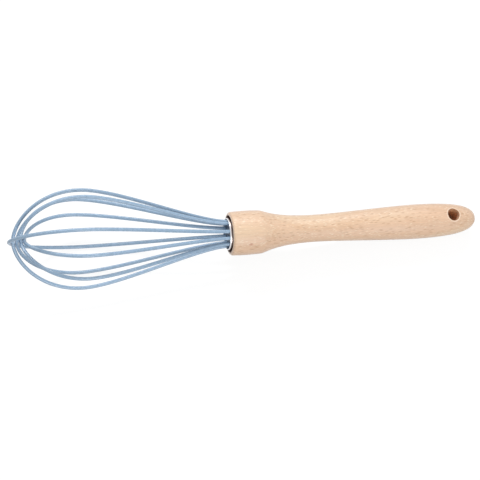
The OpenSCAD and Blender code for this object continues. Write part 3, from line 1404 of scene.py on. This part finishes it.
    def turned(self, place: Placement) -> bpy.types.Object:
        """Makes the handle as one closed surface: a turned skin, with a patch round each mouth of the hole.

        The hole's wall joins the innermost rings of both mouths by straight lines.

        Args:
            place: The placement.

        Returns:
            The object.
        """
        profile, patch_row = self.profile()
        poles, (x, r) = profile[[0, -1]], profile[1:-1].T
        first_row = patch_row - 1
        shell = Shell()
        grid = shell.add(revolve(x, r, self.hole_turn + turns_round(self.columns)))
        kept = np.ones((len(grid) - 1, self.columns), dtype=bool)
        half_round = self.columns // 2
        walls = []
        for centre, turn in ((0, self.hole_turn), (half_round, self.hole_turn + 180)):
            gone = (centre + np.arange(-self.patch_half, self.patch_half)) % self.columns
            kept[first_row:first_row + self.patch_rows, gone] = False
            columns_aside = (np.arange(self.columns) - centre + half_round) % self.columns - half_round
            all_x, all_aside = np.meshgrid(x, 2 * math.pi / self.columns * columns_aside, indexing="ij")
            edge_x, aside = (self.patch_edge(values, first_row, centre) for values in (all_x, all_aside))
            rings = self.mouth(edge_x, aside, turn)
            index = np.concatenate([self.patch_edge(grid, first_row, centre)[None, :], shell.add(rings)])
            shell.face(sheet_quads(index))
            walls.append((index[-1], rings[-1]))
        (top, top_points), (bottom, bottom_points) = walls
        mirrored = (2 * self.patch_half - np.arange(len(top))) % len(top)
        share = np.linspace(0, 1, self.wall_steps + 1)[1:-1, None, None]
        between = shell.add(top_points + share * (bottom_points[mirrored] - top_points))
        shell.face(sheet_quads(np.concatenate([top[None, :], between, bottom[mirrored][None, :]])))
        shell.face(sheet_quads(grid)[kept])
        shell.cap(grid, *(pole[0] * AXIS for pole in poles))
        return shell.piece("turned_handle", place)

    def build(self, place: Placement, effects: SharedEffects) -> None:
        """Makes the handle and dresses it."""
        settle(self.turned(place), Slot.BEECH, BeechFinish().build(place, effects, self), "handle")


@dataclass(frozen=True)
class RolledFerrule:
    """The steel sleeve at the handle's front.

    Attributes:
        outer_d: Its outer diameter.
        wall: Its wall.
        proud: How far it stands out of the handle.
        seat: How deep it is seated.
        columns: Columns round it.
        roll_steps: Steps round its rolled front.
    """

    outer_d: float = 20.4
    wall: float = 0.7
    proud: float = 1.5
    seat: float = 14.0
    columns: int = 192
    roll_steps: int = 16

    def rolled(self, place: Placement) -> bpy.types.Object:
        """Makes the ferrule: its section, with a half-round front, carried round the axis and closed.

        Args:
            place: The placement.

        Returns:
            The object.
        """
        half, outer, inner = self.wall / 2, self.outer_d / 2, self.outer_d / 2 - self.wall
        roll = np.linspace(math.pi, 0, self.roll_steps + 1)
        front_x, front_r = half - self.proud - half * np.sin(roll), outer - half + half * np.cos(roll)
        back = np.array([
            (0.0, outer), (self.seat / 2, outer), (self.seat - CRISP, outer), (self.seat, outer - CRISP),
            (self.seat, inner + CRISP), (self.seat - CRISP, inner), (self.seat / 2, inner), (0.0, inner),
        ])
        x, r = np.concatenate([np.stack([front_x, front_r], axis=1), back]).T
        shell = Shell()
        shell.face(sheet_quads(shell.add(revolve(x, r, turns_round(self.columns))), closed=True))
        return shell.piece("rolled_ferrule", place)

    def build(self, place: Placement, effects: SharedEffects) -> None:
        """Makes the ferrule and dresses it."""
        settle(self.rolled(place), Slot.FERRULE_STEEL, POLISHED_RIM.build(place, effects), "ferrule")


@dataclass(frozen=True)
class LoopSetting:
    """How one loop is set.

    Attributes:
        reach: From the handle's face to the middle of its wire at the tip.
        turn_share: Direction of its plane about the axis, as a share of the even spacing.
        lean_share: Angle by which both its halves lean out of that plane, as such a share.
    """

    reach: float
    turn_share: float
    lean_share: float


@dataclass(frozen=True)
class BalloonHead:
    """The five nested loops in their sleeves, outermost first, and the resin that holds them.

    Attributes:
        loops: How each loop is set.
        lean_share: How far the head leans out of the handle's line, as a share of the way from the face.
        lean_turn: Direction of that lean in degrees.
        belly_d: Width across the middles of two opposite wires.
        belly_at: Distance of the widest place from the face.
        mouth_d: Diameter of the circle on which the sleeves leave the ferrule.
        sleeve_d: Outer diameter of a sleeve.
        bore_d: Diameter of a sleeve's bore.
        seat: How deep the sleeves are seated.
        pull_shares: Pull of the curves: out of the mouth, into and out of the belly, and into the tip.
        fade_share: Length over which a lean fades at the tip, as a share of the belly's radius.
        resin_d: Diameter of the resin.
        resin_front: Distance of the resin's front behind the face.
        climb: How far the resin climbs up what it touches.
        climb_reach: How fast that climb falls off.
        sides: Sides of a sleeve.
        seat_steps: Steps of a loop's seated stretch.
        flare_steps: Steps from the mouth to the belly.
        nose_steps: Steps from the belly to the tip.
        resin_columns: Columns round the resin.
        resin_rings: Rings across its front.
    """

    loops: tuple[LoopSetting, ...] = (
        LoopSetting(139.1, 2.066, 0.032),
        LoopSetting(136.75, 3.838, 0.004),
        LoopSetting(134.2, 3.146, 0.22),
        LoopSetting(131.85, 0.379, 0.058),
        LoopSetting(129.5, 1.129, 0.181),
    )
    lean_share: float = 0.03
    lean_turn: float = 131.0
    belly_d: float = 63.4
    belly_at: float = 95.0
    mouth_d: float = 16.2
    sleeve_d: float = 2.3
    bore_d: float = 1.26
    seat: float = 8.0
    pull_shares: tuple[float, ...] = (0.21, 0.25, 0.65, 0.36)
    fade_share: float = 0.12
    resin_d: float = 18.96
    resin_front: float = 0.1
    climb: float = 0.45
    climb_reach: float = 0.5
    sides: int = 24
    seat_steps: int = 5
    flare_steps: int = 48
    nose_steps: int = 60
    resin_columns: int = 240
    resin_rings: int = 55

    @property
    def spacing(self) -> float:
        """Even spacing of the loops' planes, in degrees."""
        return 180 / len(self.loops)

    def half(self, reach: float) -> Points:
        """Half of a loop, from its seated end to its tip.

        A straight stretch in the ferrule is followed by a Bezier curve out to the belly and one round to the
        tip. Both lie along the axis where they meet the mouth and the belly, and the second reaches the axis
        square to it.

        Args:
            reach: The loop's reach.

        Returns:
            Rows of distance in front of the face, and distance from the axis.
        """
        out_mouth, in_belly, out_belly, in_tip = self.pull_shares
        mouth_r, belly_r = self.mouth_d / 2, self.belly_d / 2
        mouth, belly, tip = np.array([[0.0, mouth_r], [self.belly_at, belly_r], [reach, 0.0]])
        seated_x = np.linspace(-self.seat, 0, self.seat_steps + 1)[:-1]
        seated = np.stack([seated_x, np.full(self.seat_steps, mouth_r)], axis=1)
        off_mouth = mouth + out_mouth * self.belly_at * LEVEL
        flare = bezier(mouth, off_mouth, belly - in_belly * self.belly_at * LEVEL, belly, self.flare_steps)
        off_belly = belly + out_belly * (reach - self.belly_at) * LEVEL
        nose = bezier(belly, off_belly, tip + np.array([0.0, in_tip * belly_r]), tip, self.nose_steps)
        return np.concatenate([seated, flare, nose[1:]])

    def middle_line(self, loop: LoopSetting) -> Points:
        """Middle line of a loop, from one seated end round the tip to the other.

        Both halves lean out of the loop's plane to the same side, in proportion to their distance from the
        axis, and the lean fades smoothly at the tip: it follows the square root of the distance squared plus
        the fade squared, less the fade. From the face on, the whole head leans in proportion to the distance
        from the face.

        Args:
            loop: How the loop is set.

        Returns:
            Points, one per row.
        """
        half = self.half(loop.reach)
        turn, lean = loop.turn_share * self.spacing, math.radians(loop.lean_share * self.spacing)
        fade = self.fade_share * self.belly_d / 2
        front, out = half[:, :1], half[:, 1:]
        aside = math.sin(lean) * (np.sqrt(out**2 + fade**2) - fade) * outward(turn + 90)
        in_plane = math.cos(lean) * out * outward(turn)
        along = self.lean_share * np.maximum(front, 0) * outward(self.lean_turn) - front * AXIS
        return np.concatenate([along + in_plane + aside, (along - in_plane + aside)[-2::-1]])

    def rounds(self, line: Points) -> Points:
        """UVs of a sleeve: the share of the way round it, and the length along its line in millimetres.

        The rows go up the skin and back down the bore.

        Args:
            line: The sleeve's middle line.

        Returns:
            A UV for each corner of each face, rows by sides by 4 by 2.
        """
        length = np.concatenate([[0.0], np.cumsum(np.linalg.norm(np.diff(line, axis=0), axis=1))])
        low = np.concatenate([length, length[::-1]])
        high = np.roll(low, -1)
        left = np.arange(self.sides) / self.sides
        right = left + 1 / self.sides
        around = np.stack([left, left, right, right], axis=-1)[None]
        along = np.stack([low, high, high, low], axis=-1)[:, None]
        return np.stack(np.broadcast_arrays(around, along), axis=-1)

    def sleeve(self, number: int, place: Placement) -> bpy.types.Object:
        """Makes one sleeve: a circle carried along the middle line and back inside as the bore.

        Each ring lies square to the line. Its first direction is the loop's normal, freed of its part along
        the line, and its second is square to both.

        Args:
            number: Number of the loop, from 0.
            place: The placement.

        Returns:
            The object.
        """
        loop = self.loops[number]
        line = self.middle_line(loop)
        heading = unit(np.gradient(line, axis=0))
        normal = outward(loop.turn_share * self.spacing + 90)
        first = unit(normal - (heading @ normal)[:, None] * heading)
        second = np.cross(first, heading)
        angle = np.radians(turns_round(self.sides))[None, :, None]
        circle = np.cos(angle) * first[:, None, :] + np.sin(angle) * second[:, None, :]
        skin, bore = (line[:, None, :] + across / 2 * circle for across in (self.sleeve_d, self.bore_d))
        shell = Shell()
        shell.face(sheet_quads(shell.add(np.concatenate([skin, bore[::-1]])), closed=True))
        return shell.piece(f"sleeved_loop_{number + 1}", place, self.rounds(line))

    def resin(self, place: Placement) -> bpy.types.Object:
        """Makes the resin: a disc whose front climbs up the ferrule and up each sleeve.

        The climb falls off from each wall as an exponential of the distance to it, and all the climbs add
        up, to no more than the whole climb.

        Args:
            place: The placement.

        Returns:
            The object.
        """
        edge, turns = self.resin_d / 2, turns_round(self.resin_columns)
        radius = np.linspace(0, edge, self.resin_rings + 1)[1:]
        front = revolve(np.full(self.resin_rings, self.resin_front), radius, turns)
        climb = np.exp((radius - edge) / self.climb_reach)[:, None]
        for loop in self.loops:
            for end in self.middle_line(loop)[[0, -1]]:
                gap = np.hypot(front[..., 1] - end[1], front[..., 2] - end[2]) - self.sleeve_d / 2
                climb = climb + np.exp(-np.maximum(gap, 0) / self.climb_reach)
        front[..., 0] -= self.climb * np.minimum(climb, 1)
        back_x = np.array([self.seat / 2, self.seat - CRISP, self.seat, self.seat])
        back_r = np.array([edge, edge, edge - CRISP, edge / 2])
        shell = Shell()
        grid = np.concatenate([shell.add(front), shell.add(revolve(back_x, back_r, turns))])
        shell.face(sheet_quads(grid))
        shell.cap(grid, self.resin_front * AXIS, self.seat * AXIS)
        return shell.piece("poured_resin", place)

    def build(self, place: Placement, effects: SharedEffects, nodes: dict[str, bpy.types.Object]) -> None:
        """Makes and dresses the resin and the sleeves, and dresses the hidden spacer and wires.

        Args:
            place: The placement.
            effects: The shared node groups.
            nodes: The CAD nodes by name.
        """
        settle(self.resin(place), Slot.RESIN, DARK_RESIN.build(place, effects), "resin_seal")
        silicone = SiliconeFinish().build(place, effects)
        drawn = DRAWN_WIRE.build(place, effects)
        for number in range(len(self.loops)):
            settle(self.sleeve(number, place), Slot.SILICONE, silicone, f"silicone_sleeve_{number + 1}")
            dress_node(nodes[f"spring_wire_{number + 1}"], drawn)
        dress_node(nodes["wire_spacer"], NATURAL_NYLON.build(place, effects))


# Studio


@dataclass(frozen=True)
class SoftBox:
    """A rectangular soft light.

    Attributes:
        name: Its name.
        stand: Where it stands, in metres.
        width: Its width in metres.
        height: Its height in metres.
        power: Its power in watts.
    """

    name: str
    stand: Triple
    width: float
    height: float
    power: float


@dataclass(frozen=True)
class Studio:
    """White floor, white surroundings, soft boxes and the photograph's viewpoint.

    Attributes:
        boxes: The soft boxes.
        sky: Brightness of the surroundings as a light.
        floor_colour: Share of light that the floor gives back.
        floor_lift: Brightness that the camera and mirrors see on top of that, so that it comes to white.
        floor_half: Half the floor's width, in metres.
        floor_z: Height of the floor, just below the whisk, in metres.
        stand: Where the camera stands, in metres.
        aim: What it looks at.
        roll: How far it is turned about its own line of sight, in degrees.
        lens: Focal length in millimetres.
        sensor: Width of the sensor in millimetres.
        clip: Nearest and farthest distance that it sees, in metres.
    """

    boxes: tuple[SoftBox, ...] = (
        SoftBox("window_box", (-0.1, 0.95, 1.05), 0.9, 0.5, 2.0),
        SoftBox("strip_box", (-0.1, 0.85, 0.9), 1.2, 0.1, 8.5),
        SoftBox("front_box", (0.2, -1.3, 0.5), 0.8, 0.8, 9.0),
    )
    sky: float = 0.48
    floor_colour: float = 0.2
    floor_lift: float = 0.87
    floor_half: float = 4.0
    floor_z: float = -0.0002
    stand: Triple = (-0.1894, -0.4502, 1.0109)
    aim: Triple = (-0.0064, -0.0071, 0.0219)
    roll: float = 14.64
    lens: float = 130.35
    sensor: float = 36.0
    clip: Pair = (0.01, 50.0)

    @staticmethod
    def seen_directly(desk: Desk) -> Socket:
        """1 for rays from the camera, from a mirror or through glass, and 0 for light that falls on things.

        Args:
            desk: The desk of the floor's or the world's nodes.

        Returns:
            A mask.
        """
        path = desk.put("ShaderNodeLightPath")
        mirrored = desk.math("MAXIMUM", path["Is Glossy Ray"], path["Is Transmission Ray"])
        return desk.math("MAXIMUM", path["Is Camera Ray"], mirrored)

    def floor_finish(self) -> bpy.types.Material:
        """Makes the floor's material: matt, and lifted to white where it is seen, so that it keeps shadows.

        Returns:
            The material.
        """
        finish = bpy.data.materials.new("pale_floor")
        finish.use_nodes = True
        finish.node_tree.nodes.clear()
        desk = Desk(finish.node_tree)
        matt = desk.put("ShaderNodeBsdfDiffuse", {"Color": (self.floor_colour,) * 3})[0]
        lift = {"Strength": desk.times(self.seen_directly(desk), self.floor_lift)}
        both = desk.put("ShaderNodeAddShader", (matt, desk.put("ShaderNodeEmission", lift)[0]))[0]
        desk.put("ShaderNodeOutputMaterial", {"Surface": both})
        return finish

    def lay_floor(self) -> None:
        """Lays the floor: one square, just below the whisk."""
        half, z = self.floor_half, self.floor_z
        mesh = bpy.data.meshes.new("floor")
        square = [(-half, -half, z), (half, -half, z), (half, half, z), (-half, half, z)]
        mesh.from_pydata(square, [], [(0, 1, 2, 3)])
        mesh.materials.append(self.floor_finish())
        new_object("floor", mesh)

    def light_world(self) -> None:
        """Sets the surroundings: white where they are seen, and a plain grey as a light."""
        world = bpy.data.worlds.new("surroundings")
        bpy.context.scene.world = world
        world.use_nodes = True
        desk = Desk(world.node_tree)
        background = world.node_tree.nodes["Background"]
        desk.feed(background.inputs["Color"], (1.0, 1.0, 1.0))
        strength = desk.total(self.sky, (self.seen_directly(desk), 1.0 - self.sky))
        desk.feed(background.inputs["Strength"], strength)

    def hang_boxes(self) -> None:
        """Hangs the soft boxes, each turned to the whisk."""
        for box in self.boxes:
            light = bpy.data.lights.new(box.name, "AREA")
            light.shape = "RECTANGLE"
            light.size, light.size_y, light.energy = box.width, box.height, box.power
            lamp = new_object(box.name, light)
            lamp.location = box.stand
            lamp.rotation_euler = (-Vector(box.stand)).to_track_quat("-Z", "Y").to_euler()
            LOG.info("%s: %.1f W", box.name, box.power)

    def set_camera(self) -> None:
        """Sets the camera: turned to its aim, and then about its own line of sight."""
        data = bpy.data.cameras.new("viewpoint")
        data.lens, data.sensor_width = self.lens, self.sensor
        data.clip_start, data.clip_end = self.clip
        camera = new_object("viewpoint", data)
        camera.location = self.stand
        sight = (Vector(self.aim) - Vector(self.stand)).to_track_quat("-Z", "Y")
        camera.rotation_euler = (sight @ Quaternion((0, 0, 1), math.radians(self.roll))).to_euler()
        bpy.context.scene.camera = camera

    def build(self) -> None:
        """Sets up the whole studio."""
        self.lay_floor()
        self.light_world()
        self.hang_boxes()
        self.set_camera()
        bpy.context.scene.view_settings.view_transform = "Standard"


# Whisk


def main() -> None:
    """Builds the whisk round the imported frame, and then the studio."""
    logging.basicConfig(level=logging.INFO, format="%(name)s: %(message)s")
    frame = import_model()

    handle = TurnedHandle()
    place = Placement.from_hole(frame["record"], handle.hole_at)
    LOG.info("the handle slopes by %.3f degrees", math.degrees(place.lie))
    effects = SharedEffects()
    handle.build(place, effects)
    RolledFerrule().build(place, effects)
    BalloonHead().build(place, effects, frame["nodes"])

    Studio().build()


if __name__ == "__main__":
    main()
